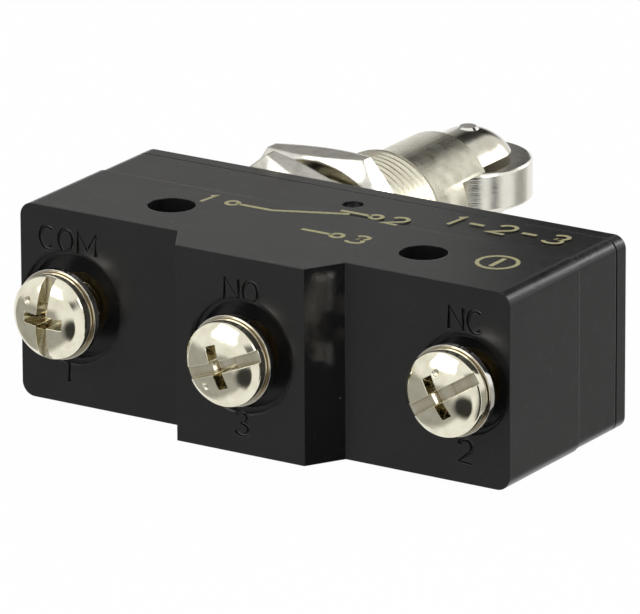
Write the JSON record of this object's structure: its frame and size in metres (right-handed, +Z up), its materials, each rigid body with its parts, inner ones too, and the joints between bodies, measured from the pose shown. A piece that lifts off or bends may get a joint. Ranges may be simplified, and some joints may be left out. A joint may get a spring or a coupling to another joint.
{
  "type": "roller plunger micro switch",
  "caption": "Panel-mount snap-action switch: black rounded case with screw terminals, threaded bushing with hex nuts, and a sprung plunger carrying a roller.",
  "frame": {"origin": "midway between the two mounting holes, on the face the switch lies on", "axes": "+X along the case from the common terminal to the normally closed terminal, +Y the way the plunger points, +Z up along the mounting holes, through the case's thickness"},
  "size_m": [0.0492, 0.0637, 0.0193],
  "materials": {
    "moulding": "semi-gloss moulded thermoset, black",
    "nickel_bright": "polished nickel plate",
    "nickel_satin": "turned and nickel plated",
    "strip_brass": "stamped brass strip",
    "spring_steel": "drawn spring wire and stamped ring",
    "blade_bronze": "beryllium copper leaf",
    "contact_silver": "silver rivet contact",
    "press_pin_plastic": "moulded phenolic, dark red"
  },
  "bodies": {
    "housing": {"case": "moulding", "cover": "moulding", "cover_pin": "nickel_bright", "terminal_com": "strip_brass", "terminal_no": "strip_brass", "terminal_nc": "strip_brass", "screw_com": "nickel_bright", "screw_no": "nickel_bright", "screw_nc": "nickel_bright", "washer_com": "nickel_bright", "washer_no": "nickel_bright", "washer_nc": "nickel_bright", "bushing": "nickel_satin", "cover_nut": "nickel_bright", "lock_nut": "nickel_bright", "return_spring": "spring_steel", "overtravel_spring": "spring_steel", "blade_rivet": "strip_brass", "contact_no": "contact_silver", "contact_nc": "contact_silver"},
    "plunger": {"plunger": "nickel_satin", "retaining_ring": "spring_steel", "roller_pin": "nickel_bright"},
    "roller": {"roller": "nickel_satin"},
    "press_pin": {"press_pin": "press_pin_plastic"},
    "blade": {"snap_blade": "blade_bronze", "moving_contact": "contact_silver"}
  },
  "joints": [
    {"name": "plunger_slide", "type": "slide", "parent": "housing", "child": "plunger", "axis": [0, -1, 0], "range_m": [0, 0.0038], "stiffness_N_per_m": 500, "springref_m": -0.006, "deforming": ["return_spring", "overtravel_spring"]},
    {"name": "roller_spin", "type": "hinge", "parent": "plunger", "child": "roller", "pos_m": [-0.0105, 0.04471, 0.00873], "axis": [0, 0, 1], "continuous": true},
    {"name": "press_slide", "type": "slide", "parent": "housing", "child": "press_pin", "axis": [0, -1, 0], "range_m": [0, 0.00024]},
    {"name": "blade_swing", "type": "hinge", "parent": "housing", "child": "blade", "pos_m": [-0.0175, 0.0071, 0.00873], "axis": [0, 0, -1], "range_deg": [0, 2]}
  ],
  "couplings": [
    {"joint": "press_slide", "follows": "plunger_slide", "ratio": 0.063},
    {"joint": "blade_swing", "follows": "plunger_slide", "rad_per_m": 9.18}
  ]
}
